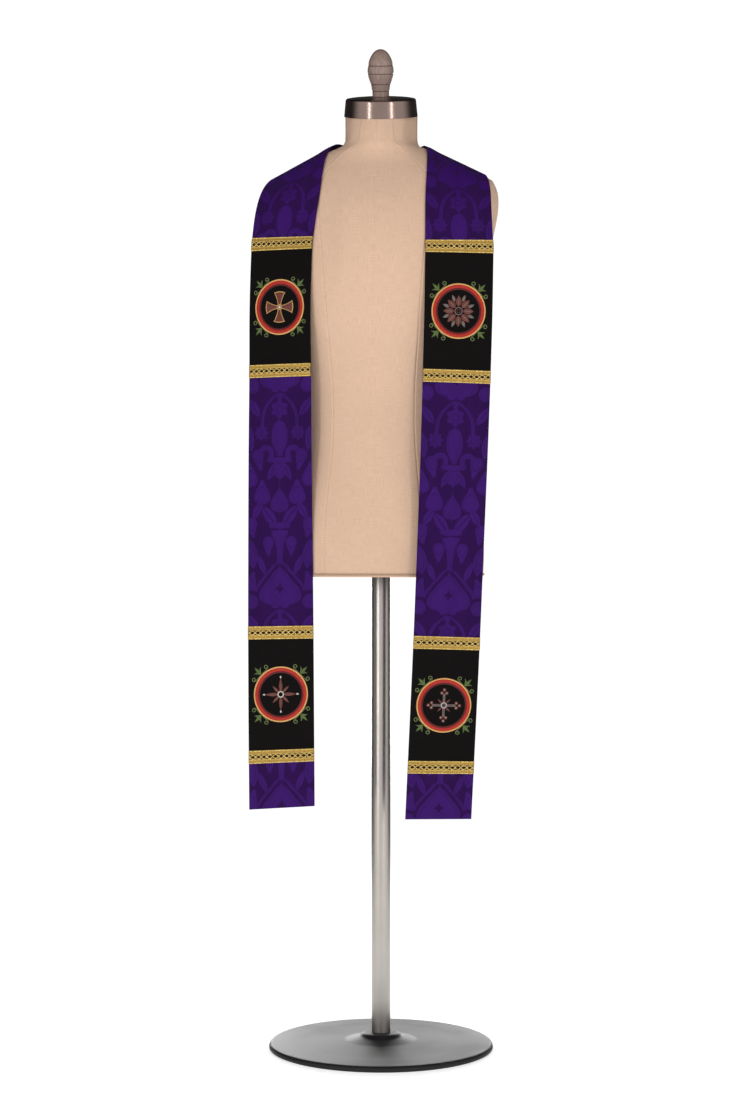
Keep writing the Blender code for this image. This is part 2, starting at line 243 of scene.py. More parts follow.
paint = Finish("satin black paint", {"Specular IOR Level": 0.22})
orange_peel = paint.noise(paint.place(), 700.0, 3.0)
handling = paint.noise(paint.place(), 9.0, 4.0).eased(0.45, 0.75)
paint.dyed(handling, (30, 30, 32), (38, 37, 38))
paint.shaded(Roughness=0.50 + handling * 0.06)
paint.raised(orange_peel, 0.00012)

base = made("stand_base", turned(rounded(BASE_OUTLINE, 0.004), 128), [paint])
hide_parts("base")

tube = Finish("brushed steel tube", {"Metallic": 1.0})
along_tube = tube.noise(tube.place(), (2600, 2600, 14))
cloudy = tube.noise(tube.place(), 14.0, 3.0)
tube.dyed(cloudy, (172, 168, 162), (196, 192, 186))
tube.shaded(Roughness=0.24 + along_tube * 0.16)
tube.raised(along_tube, 0.00003)

pole_outline = ((0.0, POLE_TOP), (POLE_RADIUS, POLE_TOP), (POLE_RADIUS, POLE_FOOT), (0.0, POLE_FOOT))
pole = made("stand_pole", turned(rounded(pole_outline, 0.0008), 64), [tube])
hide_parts("pole")


# Torso. A hard shell covered in beige linen canvas, sewn from eight gores whose seams run from the neck to
# the hip. A corded edge finishes the cover at the bottom, over a painted board.

CLOTH = 0.002
RIDGE_Y = 0.005
RIDGE_ROUNDING = 0.02
NECK_X = 0.07
FRONT_REACH = 0.111
FRONT_REACH_X = 0.10
FRONT_TURN = math.tan(math.radians(20.0))
BACK_REACH = 0.105
BACK_REACH_OUT = 0.060
SHOULDER_X = 0.19
SIDES = {
    "right": {"way": -1.0, "ridge_z": 1.5385, "fall": 0.515, "longer": 1.000, "arch": 0.037},
    "left": {"way": 1.0, "ridge_z": 1.5315, "fall": 0.500, "longer": 1.027, "arch": 0.042},
}

# Level sections from the hip up, in millimetres: height, half the width, depth to the front and to the back
FORM = np.array((
    (800, 173, 113, 104), (835, 174.5, 114.5, 106), (875, 173, 115, 106.5), (925, 166, 113, 102.5),
    (975, 156, 109, 95), (1020, 147.5, 105, 87), (1060, 144.5, 103.5, 82), (1100, 145.5, 104, 80),
    (1150, 151, 107.5, 81), (1200, 159, 113, 85), (1250, 167, 119, 90.5), (1295, 174.5, 123, 95.5),
    (1335, 181.5, 123.5, 99), (1370, 189, 120, 101), (1400, 195.5, 114, 101.5), (1425, 199, 106.5, 100.5),
    (1445, 198.5, 98, 98), (1460, 194, 90.5, 94), (1473, 186, 83.5, 88), (1485, 172, 76.5, 81),
    (1497, 153, 70, 73), (1508, 130, 66.5, 66), (1518, 100, 65, 61), (1527, 69, 67, 57),
    (1536, 62.4, 66, 55), (1546, 61.5, 65.9, 54), (1558, 61.4, 66, 54), (1570, 61.5, 66, 54.1),
    (1581.8, 61.6, 66, 54.2),
)) / 1000
FORM_SQUARENESS = 2.4
NECK_SQUARENESS = 2.0
SEAT = CLOTH / 2 + 0.0014
UNDER_YOKE_FROM = 0.042
UNDER_YOKE = 0.068
NECK_BACK_FALL = 0.054
NECK_BACK_X = 0.072
NECK_MARGIN = 0.016
NECK_BLEND = 0.014
FORM_BLEND = 0.010
NECK_Y = -0.001
NECK_TILT = math.radians(15.0)
NECK_TILTS_TO = math.radians(6.0)
NECK_TILTS_FROM = 1.546

GORE_SEAMS = (0, 66, 90, 114, 180, 246, 270, 294, 360)
SEAM_DIP = ((0.0, -0.0009), (0.35, -0.0004), (0.8, 0.0002), (1.4, 0.0))
CHEST_RADIUS = 0.15
TURN_STEP = 2.5
SEAM_MARGIN = 2.0
LEVELS = 160
BOARD_BELOW = 1.0
CORD_RADIUS = 0.0030
UNDERSIDE = 0.35


def summed(steps):
    """How far along each point is, from 0."""
    return np.concatenate([[0.0], np.cumsum(steps)])


# Cloth that tips from level over the ridge to plumb: its run, slope, reach and fall, at unit size
RUN = np.linspace(0.0, 12.0, 2400)
SLOPE = math.pi / 2 * (1 - np.exp(-RUN))
REACH = summed((np.cos(SLOPE[1:]) + np.cos(SLOPE[:-1])) * RUN[1] / 2)
FALL = summed((np.sin(SLOPE[1:]) + np.sin(SLOPE[:-1])) * RUN[1] / 2)
RIDGE_START = math.hypot(NECK_X, RIDGE_ROUNDING)


def ridge_height(side, across):
    return side["ridge_z"] - side["fall"] * (np.hypot(across, RIDGE_ROUNDING) - RIDGE_START)


def reach_of(across, front):
    """How far the cloth comes forwards or goes back from the ridge, this far from the middle."""
    forwards = FRONT_REACH - FRONT_TURN * (across - FRONT_REACH_X) + RIDGE_Y
    narrowing = (BACK_REACH - BACK_REACH_OUT) * (across / SHOULDER_X) ** 2
    return np.where(front, forwards, BACK_REACH - narrowing - RIDGE_Y)


def smooth(rows, at):
    """The rest of a table's row for places between its rows, on smooth curves. The place comes first."""
    rows = np.asarray(rows, float)
    places = rows[:, 0]
    slopes = np.gradient(rows, places, axis=0)
    i = np.clip(np.searchsorted(places, at) - 1, 0, len(rows) - 2)
    step = (places[i + 1] - places[i])[..., None]
    t = (np.asarray(at) - places[i])[..., None] / step
    near = (1 + 2 * t) * (1 - t) ** 2 * rows[i] + t * (1 - t) ** 2 * step * slopes[i]
    far = t * t * (3 - 2 * t) * rows[i + 1] - t * t * (1 - t) * step * slopes[i + 1]
    return (near + far)[..., 1:]


def cloth_limit(side, across, height, front):
    """How far from the line under the ridge the form may come here, with the cloth lying on it."""
    size = reach_of(across, front) / REACH[-1]
    upright = SEAT * math.hypot(1.0, side["fall"])
    falls = size * FALL + upright * np.cos(SLOPE)
    reaches = size * REACH - SEAT * np.sin(SLOPE)
    return np.interp(ridge_height(side, across) - height, falls, reaches)


def widest(side, height):
    """How far out the form still lies under the ridge at this height."""
    upright = SEAT * math.hypot(1.0, side["fall"])
    rise = (side["ridge_z"] - upright - height) / side["fall"] + RIDGE_START
    return math.sqrt(max(rise, RIDGE_ROUNDING) ** 2 - RIDGE_ROUNDING**2)


def eased(at, start, end):
    t = np.clip((at - start) / (end - start), 0.0, 1.0)
    return t * t * (3 - 2 * t)


def lesser(a, b, blend):
    """The smaller of two depths, rounded off where they are nearly the same."""
    near = max(blend - abs(a - b), 0.0) / blend
    return min(a, b) - near * near * blend / 4


def form_point(turn, height, section):
    half_width, front, back = section
    c, s = math.cos(turn), math.sin(turn)
    tilted = max(0.0, height - NECK_TILTS_FROM) / (FORM[-1][0] - NECK_TILTS_FROM)
    squareness = FORM_SQUARENESS + tilted * (NECK_SQUARENESS - FORM_SQUARENESS)
    side = SIDES["left"] if c > 0 else SIDES["right"]
    out = half_width if half_width < UNDER_YOKE else min(half_width, widest(side, height))
    across = out * abs(c) ** (2 / squareness)
    forwards = s < 0
    depth = (front if forwards else back) * abs(s) ** (2 / squareness)
    edge = ridge_height(side, across) - NECK_BACK_FALL * max(0.0, 1 - across / NECK_BACK_X)
    under = eased(across, UNDER_YOKE_FROM, UNDER_YOKE)
    if not forwards:
        under = max(under, eased(edge + NECK_MARGIN - height, -NECK_BLEND, 0.0))
    under_cloth = lesser(depth, cloth_limit(side, across, height, forwards), FORM_BLEND)
    depth += under * (under_cloth - depth)
    y = RIDGE_Y + (-depth if forwards else depth)
    x = math.copysign(across, c)
    behind = (y - NECK_Y) * math.cos(NECK_TILTS_TO) - x * math.sin(NECK_TILTS_TO)
    return x, y, height + tilted * math.tan(NECK_TILT) * behind


def flat(work, across, along, finish=0):
    """A flat grid with its lines at these places, which its UV map keeps. Returns its points and the
    number of each point's line across and along."""
    counts = {"x_segments": len(across) - 1, "y_segments": len(along) - 1}
    points = bmesh.ops.create_grid(work, size=0.5, **counts)["verts"]
    shares = np.array([point.co[:2] for point in points]) + 0.5
    lines = np.rint(shares * (len(across) - 1, len(along) - 1)).astype(int)
    for point, (i, j) in zip(points, lines):
        point.co = (across[i], along[j], 0.0)
    cut = work.loops.layers.uv.get("cut") or work.loops.layers.uv.new("cut")
    for face in {face for point in points for face in point.link_faces}:
        face.material_index = finish
        for loop in face.loops:
            loop[cut].uv = loop.vert.co.xy
    return points, lines


def strand(work, path, wide, high, finish=0, sides=8, closed=False):
    """A cord or a raised run of stitches on a path of points: half its width and its height above the
    path, and a flatter underside. Its ends come to a point unless it is closed."""
    path = np.array(path, float)
    wide, high = (np.full(len(path), size, float) for size in (wide, high))
    run = summed(np.linalg.norm(np.diff(path, axis=0), axis=1))
    tangent = np.gradient(path, axis=0)
    if closed:
        tangent[0] = tangent[-1] = path[1] - path[-2]
    else:
        wide[[0, -1]] = high[[0, -1]] = 0.0
    lateral = np.stack([-tangent[:, 1], tangent[:, 0], 0 * run], axis=1)
    lateral /= np.linalg.norm(lateral, axis=1)[:, None]
    around = np.linspace(0.0, 1.0, sides + 1)
    girth = 3 * float(wide.max())
    points, lines = flat(work, run, around * girth, finish)
    i, j = lines.T
    angle = FULL_TURN * around[j]
    rise = np.sin(angle)
    rise = np.where(rise > 0, rise, rise * UNDERSIDE)
    moved = path[i] + lateral[i] * (wide[i] * np.cos(angle))[:, None]
    moved[:, 2] += high[i] * rise
    for point, place in zip(points, moved):
        point.co = place


linen = Finish("linen canvas", {"Roughness": 0.86, "Sheen Weight": 0.12, "Sheen Roughness": 0.5})
cut = linen.grain()
warp, weft = cut.parts()
slubs = linen.noise(cut, (1500, 60, 1))
slubs_across = linen.noise(cut, (60, 1500, 1))
yarns = slubs * 0.5 + slubs_across * 0.5
plain_weave = (warp * (math.pi / 0.00075)).sine() * (weft * (math.pi / 0.00075)).sine()
patchy = linen.noise(linen.place(), 6.0, 3.0)
tan = linen.mix(yarns.eased(0.3, 0.7), (216, 182, 155), (233, 201, 174))
linen.dyed(patchy.eased(0.4, 0.8) * 0.35, tan, (208, 176, 150))
linen.raised(plain_weave * 0.35 + yarns, 0.00035)

piping = Finish("linen cord", {"Roughness": 0.8, "Sheen Weight": 0.1})
run, girth = piping.grain().parts()
twist = (run * 1600.0 + girth * 900.0).sine() * 0.5 + 0.5
piping.dyed(twist, (172, 142, 118), (200, 170, 146))
piping.raised(twist, 0.0004)

board = Finish("painted board", {"Roughness": 0.7})
brushed_on = board.noise(board.place(), (40, 400, 40), 3.0)
board.dyed(brushed_on, (58, 54, 50), (74, 69, 63))
board.raised(brushed_on, 0.0002)

dips = {}
for seam in GORE_SEAMS:
    for apart, dip in SEAM_DIP:
        for turn in {seam - apart, seam + apart}:
            if 0 <= turn <= 360:
                dips[turn] = dip
for turn in np.arange(0, 360, TURN_STEP):
    if min(abs(turn - seam) for seam in GORE_SEAMS) > SEAM_MARGIN:
        dips[float(turn)] = 0.0
turns = np.array(sorted(dips))
seam_dips = np.array([dips[turn] for turn in turns])
heights = np.linspace(FORM[0][0], FORM[-1][0], LEVELS)
sections = smooth(FORM, heights)

work = bmesh.new()
dip_of = work.verts.layers.float.new("dip")
points, lines = flat(work, np.radians(turns) * CHEST_RADIUS, heights)
for point, (i, j) in zip(points, lines):
    point.co = form_point(math.radians(turns[i] % 360), heights[j], sections[j])
    point[dip_of] = seam_dips[i]
bmesh.ops.remove_doubles(work, verts=points, dist=MERGED)
bmesh.ops.recalc_face_normals(work, faces=work.faces)
work.normal_update()
outwards = [point.normal.copy() for point in work.verts]
for point, normal in zip(work.verts, outwards):
    point.co += normal * point[dip_of]
rims = [edge for edge in work.edges if edge.is_boundary]
for end in bmesh.ops.holes_fill(work, edges=rims, sides=0)["faces"]:
    end.material_index = int(end.calc_center_median().z < BOARD_BELOW)
bmesh.ops.recalc_face_normals(work, faces=work.faces)
hem_height = FORM[0][0] + CORD_RADIUS
torso_hem = [form_point(math.radians(turn % 360), hem_height, smooth(FORM, hem_height)) for turn in turns]
strand(work, torso_hem, CORD_RADIUS * 0.8, CORD_RADIUS, 2, 10, closed=True)
bmesh.ops.remove_doubles(work, verts=work.verts, dist=MERGED)
torso = made("torso", work, [linen, board, piping], 50)
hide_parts("form_body")


# Neck cap and finial. The cap is spun from steel, brushed round its side, with a slightly domed top. The
# finial is turned from stained hardwood with four grooves, and screws into the cap. Both lean forwards.

CAP_RADIUS = 0.0625
CAP_TOP_RADIUS = 0.0596
CAP_HEIGHT = 0.030
CAP_DOME = 0.003
CAP_DOMING = ((0.0, 1.0), (0.30, 0.93), (0.60, 0.66), (0.85, 0.26))
CAP_EDGE = 0.0008
GAP = 0.0003
FINIAL_HEIGHT = 0.0783
FINIAL_RADIUS = 0.0221
NECK_TOP = (0.0, NECK_Y, FORM[-1][0])
NECK_LEAN = (NECK_TILT, 0, NECK_TILTS_TO)

# The finial's radius at each height, as shares of its height and of its widest radius, and its grooves
FINIAL_SHARES = (
    (0.0, 0.64), (0.06, 0.64), (0.155, 0.68), (0.241, 0.745), (0.328, 0.84), (0.414, 0.935),
    (0.53, 1.0), (0.672, 0.935), (0.759, 0.88), (0.823, 0.78), (0.888, 0.65), (0.931, 0.53),
    (0.974, 0.34), (0.992, 0.19), (1.0, 0.0),
)
GROOVES = (0.112, 0.255, 0.481, 0.653)
GROOVE_HALF_WIDTH = 0.011
SHADED_GROOVE_HALF_WIDTH = 0.0077
GROOVE_DEPTH = 0.030


def leaning(work):
    """Stands a turned piece on the neck, leaning with it."""
    lean = Matrix.Rotation(NECK_TILTS_TO, 3, "Z") @ Matrix.Rotation(NECK_TILT, 3, "X")
    bmesh.ops.rotate(work, verts=work.verts, cent=(0, 0, 0), matrix=lean)
    bmesh.ops.translate(work, verts=work.verts, vec=NECK_TOP)
    return work


cap_steel = Finish("spun steel", {"Metallic": 1.0})
on_neck = cap_steel.moved(cap_steel.place(), NECK_TOP, NECK_LEAN)
brushing = cap_steel.noise(on_neck, (16, 16, 3800), 3.0, 0.6)
smudges = cap_steel.noise(on_neck, 28.0, 3.0)
worn_steel = cap_steel.mix(smudges, (138, 121, 114), (149, 132, 126))
cap_steel.dyed(brushing.eased(0.35, 0.65) * 0.35, worn_steel, (110, 94, 87))
cap_steel.shaded(Roughness=0.13 + brushing * 0.12 + smudges.eased(0.5, 0.8) * 0.07)
cap_steel.raised(brushing, 0.00001)

cap_outline = [(CAP_TOP_RADIUS * out, CAP_HEIGHT + CAP_DOME * up) for out, up in CAP_DOMING]
cap_outline += [(CAP_TOP_RADIUS, CAP_HEIGHT - CAP_EDGE), (CAP_RADIUS, 0.0)]
cap_outline = np.array([*rounded(cap_outline, 0.0030, 6), (0.0, 0.0)]) + (0.0, GAP)
cap = made("neck_cap_steel", leaning(turned(cap_outline, 128)), [cap_steel], 30)
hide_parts("neck_cap")

wood = Finish("stained hardwood", {"Coat Weight": 0.25, "Coat Roughness": 0.3})
on_cap = wood.moved(wood.place(), NECK_TOP, NECK_LEAN)
wander = wood.noise(on_cap, (30, 30, 8))
figure = wood.noise(on_cap, (420, 420, 22), 4.0, 0.65)
rings = ((wood.moved(on_cap, (0.008, 0.0, 0.0)).parts()[0] * 1500.0 + wander * 16.0).sine() * 0.5) + 0.5
brown = wood.mix(rings * 0.5, (142, 121, 112), (120, 101, 94))
wood.dyed(figure.eased(0.40, 0.70) * 0.7, brown, (164, 142, 132))
wood.shaded(Roughness=0.48 + figure * 0.16)
wood.raised(figure, 0.00012)

# Painted shade in the four grooves: a darker finish on the groove faces stands in for the shade that falls in
# them.
groove_shade = Finish("painted shade in the grooves", {"Coat Weight": 0.1, "Coat Roughness": 0.4})
groove_shade_noise = groove_shade.noise(groove_shade.place(), 260.0, 3.0)
groove_shade.dyed(groove_shade_noise, (58, 46, 40), (88, 70, 60))
groove_shade.shaded(Roughness=0.6 + groove_shade_noise * 0.2)
groove_shade.raised(groove_shade_noise, 0.0001)

foot = 2 * GAP + CAP_HEIGHT + CAP_DOME
ups = np.unique([*np.linspace(0, 0.9, 121), *(1 - 0.1 * np.linspace(0, 1, 16) ** 2)])
shares = np.array([(up, out * out) for up, out in FINIAL_SHARES])
outs = np.sqrt(np.maximum(smooth(shares, ups)[:, 0], 0.0))
for groove in GROOVES:
    outs -= GROOVE_DEPTH * np.maximum(1 - ((ups - groove) / GROOVE_HALF_WIDTH) ** 2, 0.0)
outs[-1] = 0.0
finial_outline = [(0.0, foot), *zip(FINIAL_RADIUS * outs, foot + FINIAL_HEIGHT * ups)]
work = turned(finial_outline, 96)
# The faces inside the grooves take the darker finish of painted shade.
for face in work.faces:
    up = (face.calc_center_median().z - foot) / FINIAL_HEIGHT
    face.material_index = int(min(abs(up - groove) for groove in GROOVES) < SHADED_GROOVE_HALF_WIDTH)
finial = made("finial_wood", leaning(work), [wood, groove_shade], 60)
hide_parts("finial")


# Purple damask: the yokes, middles and ends of both strips. Each is a doubled cloth whose long edges are
# turned in, and the yokes meet in a mitred seam behind the neck. The figure is woven in satin.

CHEST_WIDTH = 0.117
HEM_WIDTH = 0.1110
LENGTHS = (0.211, 0.436, 0.205, 0.086)
HANGING = sum(LENGTHS)
HALF_CLOTH = CLOTH / 2
TURNED_IN = 0.012
HEM_DEPTH = 0.024
EDGE_STEP = 0.0006
SINGLE_THINNER = 0.55

# Edges of a yoke in millimetres, from the centre-back seam to the upper galloon: distance from the middle of
# the body and distance over the ridge along the cloth, for the inner edge and then for the outer
YOKES = {
    "right": (
        (0.15, -95, 0.15, -244), (20, -76, 50, -186), (40, -53, 98, -128), (59, -28, 142, -70),
        (74, 0, 172, -22), (85, 36, 190, 16), (89, 78, 201, 50), (92, 134, 207.5, 89),
        (101.6, 212.5, 211.6, 138),
    ),
    "left": (
        (0.15, -95, 0.15, -244), (20, -76, 49, -186), (40, -53, 95, -128), (58, -28, 137, -70),
        (72, 0, 166, -22), (82, 36, 182, 18), (85.5, 80, 190, 55), (86, 141, 193.5, 99),
        (87.6, 225, 197.6, 154),
    ),
}

# How a strip hangs: drop below the upper galloon, its middle in X, its turn in degrees, how far its outer
# edge hangs lower, and how far its middle stands proud
HANGS = {
    "right": (
        (0, 0.1566, 0, 0, 0), (0.11, 0.1588, 1, 0.001, 0.001), (0.21, 0.1582, 3, 0.003, 0.0015),
        (0.33, 0.1583, 6, 0.004, 0.002), (0.53, 0.1574, 12, 0.006, 0.0028), (0.63, 0.1569, 15, 0.007, 0.0028),
        (0.78, 0.156, 18, 0.01, 0.0022), (0.95, 0.1546, 20, 0.014, 0.0015),
    ),
    "left": (
        (0, 0.1426, 0, 0, 0), (0.1, 0.1417, 0, 0.001, 0.001), (0.2, 0.1393, 0, 0.003, 0.0015),
        (0.32, 0.1358, -1, 0.004, 0.002), (0.52, 0.1284, -1, 0.006, 0.0028), (0.64, 0.1238, 0, 0.007, 0.0028),
        (0.86, 0.1142, 2, 0.007, 0.0022), (0.97, 0.1092, 3, 0.006, 0.0015),
    ),
}

# Soft creases in millimetres: where each starts and ends on the strip, from the inner edge out and from the
# upper galloon down, half its width, and its height, which is below zero for a trough. Each fades in from
# a share of its length past its ends.
CREASES = {
    "right": (
        (4, -395, 60, -330, 11, 1.2), (30, -300, 96, -240, 12, -0.8), (2, -250, 44, -120, 10, 1.4),
        (66, -210, 112, -150, 9, -0.8), (20, -130, 84, -46, 13, 1.2), (26, 250, 44, 420, 13, -1.8),
        (86, 300, 74, 560, 12, 1.7), (30, 520, 60, 640, 11, 1.5), (58, 800, 70, 935, 12, -1.8),
        (14, 780, 24, 938, 9, 1.5),
    ),
    "left": (
        (8, -400, 66, -340, 12, 1.2), (34, -310, 98, -250, 11, -0.8), (4, -262, 40, -140, 9, 1.3),
        (58, -230, 110, -176, 11, -0.8), (74, -150, 96, -40, 12, 1.2), (20, -120, 34, -30, 9, -0.7),
        (80, 240, 92, 400, 12, -1.8), (34, 330, 26, 590, 13, 1.7), (70, 500, 60, 655, 11, -1.6),
        (44, 790, 36, 945, 11, 1.7), (90, 840, 98, 948, 9, -1.4),
    ),
}
PAST_END = 0.3
FULL_FROM = 0.35


def draped(side, across, over):
    """Points this far from the middle and this far over the ridge, on the surface the cloth lies on."""
    size = reach_of(across, over >= 0) / REACH[-1]
    run = np.abs(over) / size
    beyond = np.maximum(run - RUN[-1], 0.0)
    reach = size * np.interp(run, RUN, REACH)
    fall = size * (np.interp(run, RUN, FALL) + beyond)
    y = RIDGE_Y - np.copysign(reach, over)
    return np.stack([side["way"] * across, y, ridge_height(side, across) - fall], axis=-1)


class Strip:
    """One side of the stole, as a surface: across it from 0 at the inner edge to 1, and along it in
    metres down its middle from the centre-back seam."""

    def __init__(self, name):
        self.name = name
        self.side = SIDES[name]
        self.way = self.side["way"]
        yoke = np.array([(i, *np.array(row) / 1000) for i, row in enumerate(YOKES[name])])
        fine = smooth(yoke, np.linspace(0, len(yoke) - 1, 160))
        self.last = fine[-1]
        self.edges = []
        for edge in (fine[:, :2], fine[:, 2:]):
            steps = np.linalg.norm(np.diff(draped(self.side, *edge.T), axis=0), axis=1)
            self.edges.append((summed(steps), edge))
        self.edge_lengths = [lengths[-1] for lengths, _ in self.edges]
        self.yoke_length = sum(self.edge_lengths) / 2
        lengths = self.side["longer"] * np.array((0.0, *LENGTHS))
        *self.seams, self.hem = self.yoke_length + np.cumsum(lengths)

    def width(self, along):
        drop = np.maximum(along - self.yoke_length, 0.0)
        return CHEST_WIDTH + (HEM_WIDTH - CHEST_WIDTH) * drop / HANGING

    def surface(self, across, along):
        part = np.clip(along / self.yoke_length, 0.0, 1.0)
        ends = []
        for lengths, edge in self.edges:
            at = part * lengths[-1]
            ends.append(np.stack([np.interp(at, lengths, column) for column in edge.T]))
        on_yoke = draped(self.side, *(ends[0] + across * (ends[1] - ends[0])))
        drop = np.maximum(along - self.yoke_length, 0.0)
        middle, turn, lean, crown = smooth(HANGS[self.name], drop).T
        out = (across - 0.5) * self.width(along) / math.hypot(1, FRONT_TURN)
        over = self.last[1] + across * (self.last[3] - self.last[1] + lean) + drop
        point = draped(self.side, middle + out, over)
        pivot = draped(self.side, middle, over)
        angle = -self.way * np.radians(turn)
        x, y = (point - pivot).T[:2]
        point[:, 0] = pivot[:, 0] + x * np.cos(angle) - y * np.sin(angle)
        point[:, 1] = pivot[:, 1] + x * np.sin(angle) + y * np.cos(angle)
        point[:, 1] -= crown * (1 - (2 * across - 1) ** 2)
        return np.where((along <= self.yoke_length)[:, None], on_yoke, point)

    def normal(self, across, along):
        step = 0.0005
        wide = step / CHEST_WIDTH
        over = self.surface(across + wide, along) - self.surface(across - wide, along)
        down = self.surface(across, along + step) - self.surface(across, np.maximum(along - step, 0.0))
        out = np.cross(down, over) * self.way
        return out / np.linalg.norm(out, axis=1)[:, None]

    def crease(self, across, along):
        """How far the creases lift the cloth."""
        place = np.stack([across * CHEST_WIDTH, along - self.yoke_length], axis=1)
        height = np.zeros(len(place))
        for row in CREASES[self.name]:
            start, end, (half_width, rise) = np.reshape(row, (3, 2)) / 1000
            line = end - start
            share = np.clip((place - start) @ line / (line @ line), -PAST_END, 1 + PAST_END)
            apart = np.linalg.norm(place - start - share[:, None] * line, axis=1)
            fade = eased(share, -PAST_END, FULL_FROM) * eased(1 - share, -PAST_END, FULL_FROM)
            height += rise * fade * np.exp(-((apart / half_width) ** 2))
        return height

    def lay(self, work, middle, out):
        """Lays a flat piece on the strip: its X runs from the strip's middle to the outer edge, its Y down
        the strip from this place, and its Z out of the surface that lies so far out."""
        bmesh.ops.remove_doubles(work, verts=work.verts, dist=MERGED)
        flat_points = np.array([point.co for point in work.verts])
        along = middle + flat_points[:, 1]
        across = 0.5 + flat_points[:, 0] / self.width(along)
        inside = np.clip(across, 0.0, 1.0)
        height = out + flat_points[:, 2] + self.crease(inside, along)
        places = self.surface(across, along) + height[:, None] * self.normal(across, along)
        for point, place in zip(work.verts, places):
            point.co = place
        bmesh.ops.recalc_face_normals(work, faces=work.faces)
        return work


STRIPS = [Strip("right"), Strip("left")]


def edged(length, edge, count):
    """Places from one end to the other, closer together at both ends."""
    near = edge * np.array((0.0, 0.03, 0.12, 0.28, 0.52, 0.8, 1.15, 1.7))
    inner = np.linspace(2.6 * edge, length - 2.6 * edge, count)
    return np.concatenate([near, inner, length - near[::-1]])


def bulge(apart, edge):
    """From 0 at a rim to 1 at this distance inside it, on a quarter circle."""
    return np.sqrt(1 - (1 - np.clip(apart / edge, 0.0, 1.0)) ** 2)


def cloth(strip, start, end, rows, hem):
    """A doubled cloth between two places along a strip, with rounded rims and its edges turned in behind.
    The face is finish 0 and the reverse finish 1."""
    length = end - start
    middle = (start + end) / 2
    across = edged(CHEST_WIDTH, HALF_CLOTH, 30) - CHEST_WIDTH / 2
    along = edged(length, HALF_CLOTH, rows) - length / 2
    work = bmesh.new()
    for finish in (0, 1):
        points, _ = flat(work, across, along, finish)
        x, y = np.array([point.co[:2] for point in points]).T
        from_side = CHEST_WIDTH / 2 - np.abs(x)
        from_hem = length / 2 - y
        from_end = length / 2 - np.abs(y)
        rim = bulge(from_side, HALF_CLOTH) * bulge(from_end, HALF_CLOTH)
        single = eased(from_side, TURNED_IN - EDGE_STEP, TURNED_IN + EDGE_STEP)
        if hem:
            single = single * eased(from_hem, HEM_DEPTH - EDGE_STEP, HEM_DEPTH + EDGE_STEP)
        height = rim * HALF_CLOTH * (-(1 - SINGLE_THINNER * single) if finish else 1.0)
        narrowed = x * strip.width(middle + y) / CHEST_WIDTH
        for point, x, z in zip(points, narrowed, height):
            point.co.x, point.co.z = x, z
    cut = work.loops.layers.uv["cut"]
    arch = strip.seams[1] - strip.yoke_length + strip.side["arch"]
    inner, outer = strip.edge_lengths
    for face in work.faces:
        for loop in face.loops:
            x, y = loop[cut].uv
            down = middle + y - strip.yoke_length
            if down < 0:
                lengthwise = inner + (0.5 + x / CHEST_WIDTH) * (outer - inner)
                down *= lengthwise / strip.yoke_length
            loop[cut].uv = (x * strip.width(middle + y) / CHEST_WIDTH, down - arch)
    return strip.lay(work, middle, 0.0)


# The damask's repeat in millimetres, down from the tip of its arch. An outline gives half the width of the
# motifs on the axis at each height, and an arch how far out its line is. Each motif has its shape, place,
# turn, half width and half length; each rosette its place, radius and petals. The figure is drawn fuller by
# the spread, and a thin line of the ground runs round inside its motifs.
REPEAT = 360.0
OUTLINE_WIDEST = 42.0
AXIS_OUTLINE = (
    (0, 0), (3, 3), (10, 4), (12, 0), (44, 0), (48, 6), (56, 11), (68, 13.5), (80, 13), (92, 9),
    (101, 5), (104, 4.5), (106, 0), (107, 0), (108, 21), (115, 21), (116, 0), (117, 0), (118, 4),
    (124, 8), (132, 10), (139, 8), (145, 0), (156, 0), (163, 4), (174, 11), (186, 15), (193, 13.5),
    (198, 6), (200, 0), (215, 0), (216, 14), (221, 18), (225, 14.5), (226, 0), (228, 0), (229, 14),
    (240, 10.5), (254, 6), (270, 4.2), (282, 3), (285, 0), (287, 0), (296, 8), (306, 16), (318, 26),
    (330, 34), (338, 36), (345, 33), (350, 25), (354, 12), (356, 0), (360, 0),
)
ARCHES = (
    (1, 58, ((0, 0), (6, 8), (14, 17), (26, 25), (40, 29), (58, 30), (360, 30))),
    (278, 330, ((0, 0), (278, 0), (286, 8), (296, 16), (308, 27), (320, 36), (330, 41), (360, 41))),
)
MOTIFS = (
    ("curl", 24, 101, -18, 13.5, 13.5),
    ("drop", 37, 112, 193, 10, 19),
    ("petal", 13, 130, -27, 5, 16),
    ("drop", 31, 163, 0, 14.5, 22),
    ("leaf", 18, 205, 38, 8, 21),
    ("drop", 20, 256, 180, 9, 17),
    ("drop", 53, 134, 8, 11, 21),
    ("leaf", 40, 195, -30, 6, 16),
    ("drop", 50, 225, 190, 10, 18),
    ("petal", 50, 268, 8, 9.5, 24),
    ("drop", 50, 312, -16, 10, 17),
    ("leaf", 47, 24, 36, 6.5, 18),
    ("petal", 53, 76, 4, 6, 20),
    ("oval", 50, 347, 20, 11, 12),
    ("leaf", 32, 286, 24, 4.5, 18),
    ("curl", 8, 351, 200, 7, 7),
)
ROSETTES = ((0, 27, 16, 6), (33, 66, 13, 8))
QUATREFOIL = (326, 8)
SPREAD = 0.4
INCISED_AT = 2.3
INCISED = 0.62


def outline_curve(finish, level, points):
    outline = [(height / REPEAT, width / OUTLINE_WIDEST) for height, width in points]
    return finish.node("FloatCurve", {"outline": outline}, {"Value": level / REPEAT}) * OUTLINE_WIDEST


def petals(out, down, y, count):
    """The distance from a flower's heart and how far round it this is, as the cosine of its petals."""
    down = (down - y).wrapped(-REPEAT / 2, REPEAT / 2)
    turn = out.graph.math("ARCTAN2", out, down)
    return (out * out + down * down).root(), (turn * count).cosine()


